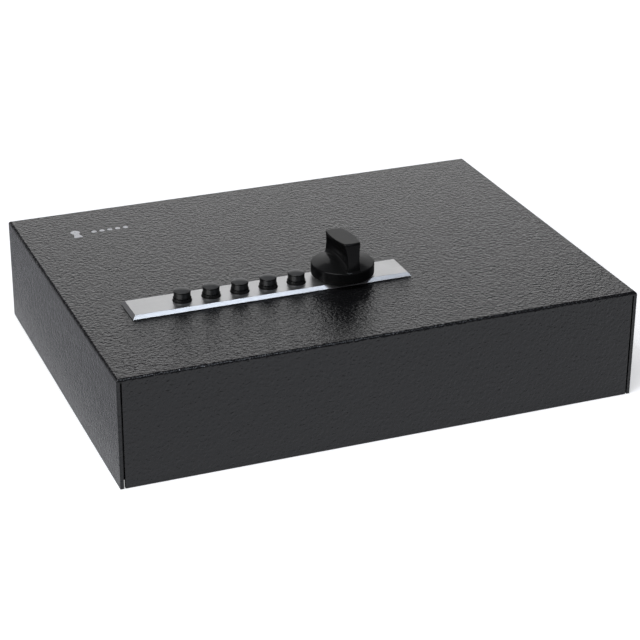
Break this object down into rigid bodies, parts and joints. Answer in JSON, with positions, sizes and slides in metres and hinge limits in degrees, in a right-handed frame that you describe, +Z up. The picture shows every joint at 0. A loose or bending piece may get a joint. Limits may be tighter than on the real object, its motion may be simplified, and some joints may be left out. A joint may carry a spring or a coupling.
{
  "type": "cash box",
  "caption": "Low steel lock box with a full-depth hinged lid, a push-button mechanical combination lock, a turn knob and a sliding latch bolt",
  "frame": {"origin": "centre of the underside, on the surface the box stands on; the front skirt with the lock near it faces -Y", "axes": "+X along the long side to the right as seen from the front, +Y to the hinged rear, +Z up"},
  "size_m": [0.3048, 0.2286, 0.0913],
  "materials": {
    "textured_coat": "semi-gloss black powder coat with a fine raised wrinkle, about 2 mm from bump to bump",
    "smooth_coat": "semi-gloss black powder coat, fine texture",
    "plated_steel": "zinc-plated steel, satin",
    "satin_aluminium": "fine lengthwise brushed satin",
    "brass_parts": "turned brass",
    "black_plastic": "satin black moulded plastic",
    "black_rubber": "matte black rubber",
    "charcoal_foam": "charcoal open-cell foam"
  },
  "bodies": {
    "base": {"base_tray": "smooth_coat", "base_foam_pad": "charcoal_foam", "hinge_leaf_base": "plated_steel", "hinge_pin": "plated_steel", "strike_bracket": "plated_steel", "strike_rivet_left": "plated_steel", "strike_rivet_right": "plated_steel"},
    "lid": {"lid_shell": "textured_coat", "hinge_leaf_lid": "plated_steel", "faceplate": "satin_aluminium", "lock_mounting_plate": "plated_steel", "stud_nut_left": "plated_steel", "stud_nut_right": "plated_steel", "lock_chamber": "plated_steel", "chamber_cover": "plated_steel", "cover_screw_left": "plated_steel", "cover_screw_right": "plated_steel", "code_wheel_arbor": "plated_steel", "spindle_bush": "plated_steel", "bolt_guide": "plated_steel", "lid_stop_left": "black_rubber", "lid_stop_right": "black_rubber", "lid_foam_pad": "charcoal_foam", "button_bush_1": "black_plastic", "button_bush_2": "black_plastic", "button_bush_3": "black_plastic", "button_bush_4": "black_plastic", "button_bush_5": "black_plastic", "button_spring_1": "plated_steel", "button_spring_2": "plated_steel", "button_spring_3": "plated_steel", "button_spring_4": "plated_steel", "button_spring_5": "plated_steel"},
    "button_1": {"push_button_1": "black_plastic"},
    "button_2": {"push_button_2": "black_plastic"},
    "button_3": {"push_button_3": "black_plastic"},
    "button_4": {"push_button_4": "black_plastic"},
    "button_5": {"push_button_5": "black_plastic"},
    "wheel_1": {"code_wheel_1": "brass_parts"},
    "wheel_2": {"code_wheel_2": "brass_parts"},
    "wheel_3": {"code_wheel_3": "brass_parts"},
    "wheel_4": {"code_wheel_4": "brass_parts"},
    "wheel_5": {"code_wheel_5": "brass_parts"},
    "knob": {"knob": "black_plastic", "knob_spindle": "plated_steel", "knob_set_screw": "plated_steel", "spindle_clip": "plated_steel", "drive_cam": "plated_steel", "fence_eccentric": "brass_parts"},
    "bolt": {"latch_bolt": "plated_steel"},
    "fence": {"fence_slide": "plated_steel"}
  },
  "joints": [
    {"name": "lid_hinge", "type": "hinge", "parent": "base", "child": "lid", "pos_m": [0, 0.1101, 0.0044], "axis": [-1, 0, 0], "range_deg": [0, 90]},
    {"name": "button_1_push", "type": "slide", "parent": "lid", "child": "button_1", "axis": [0, 0, -1], "range_m": [0, 0.0027], "stiffness_N_per_m": 400, "springref_m": -0.001, "deforming": ["button_spring_1"]},
    {"name": "button_2_push", "type": "slide", "parent": "lid", "child": "button_2", "axis": [0, 0, -1], "range_m": [0, 0.0027], "stiffness_N_per_m": 400, "springref_m": -0.001, "deforming": ["button_spring_2"]},
    {"name": "button_3_push", "type": "slide", "parent": "lid", "child": "button_3", "axis": [0, 0, -1], "range_m": [0, 0.0027], "stiffness_N_per_m": 400, "springref_m": -0.001, "deforming": ["button_spring_3"]},
    {"name": "button_4_push", "type": "slide", "parent": "lid", "child": "button_4", "axis": [0, 0, -1], "range_m": [0, 0.0027], "stiffness_N_per_m": 400, "springref_m": -0.001, "deforming": ["button_spring_4"]},
    {"name": "button_5_push", "type": "slide", "parent": "lid", "child": "button_5", "axis": [0, 0, -1], "range_m": [0, 0.0027], "stiffness_N_per_m": 400, "springref_m": -0.001, "deforming": ["button_spring_5"]},
    {"name": "wheel_1_turn", "type": "hinge", "parent": "lid", "child": "wheel_1", "pos_m": [-0.0914, -0.0334, 0.0425], "axis": [1, 0, 0], "range_deg": [0, 39.65]},
    {"name": "wheel_2_turn", "type": "hinge", "parent": "lid", "child": "wheel_2", "pos_m": [-0.0745, -0.0334, 0.0425], "axis": [1, 0, 0], "range_deg": [0, 39.65]},
    {"name": "wheel_3_turn", "type": "hinge", "parent": "lid", "child": "wheel_3", "pos_m": [-0.0576, -0.0334, 0.0425], "axis": [1, 0, 0], "range_deg": [0, 39.65]},
    {"name": "wheel_4_turn", "type": "hinge", "parent": "lid", "child": "wheel_4", "pos_m": [-0.0407, -0.0334, 0.0425], "axis": [1, 0, 0], "range_deg": [0, 39.65]},
    {"name": "wheel_5_turn", "type": "hinge", "parent": "lid", "child": "wheel_5", "pos_m": [-0.0238, -0.0334, 0.0425], "axis": [1, 0, 0], "range_deg": [0, 39.65]},
    {"name": "knob_turn", "type": "hinge", "parent": "lid", "child": "knob", "pos_m": [0.0044, -0.0374, 0.067], "axis": [0, 0, 1], "range_deg": [0, 90]},
    {"name": "bolt_slide", "type": "slide", "parent": "lid", "child": "bolt", "axis": [0, -1, 0], "range_m": [0, 0.00752]},
    {"name": "fence_slide_move", "type": "slide", "parent": "lid", "child": "fence", "axis": [0, -1, 0], "range_m": [0, 0.00282]}
  ],
  "couplings": [
    {"joint": "wheel_1_turn", "follows": "button_1_push", "rad_per_m": 255.01},
    {"joint": "wheel_2_turn", "follows": "button_2_push", "rad_per_m": 255.01},
    {"joint": "wheel_3_turn", "follows": "button_3_push", "rad_per_m": 255.01},
    {"joint": "wheel_4_turn", "follows": "button_4_push", "rad_per_m": 255.01},
    {"joint": "wheel_5_turn", "follows": "button_5_push", "rad_per_m": 255.01},
    {"joint": "bolt_slide", "follows": "knob_turn", "m_per_rad": 0.0047746},
    {"joint": "fence_slide_move", "follows": "knob_turn", "m_per_rad": 0.0017825}
  ]
}
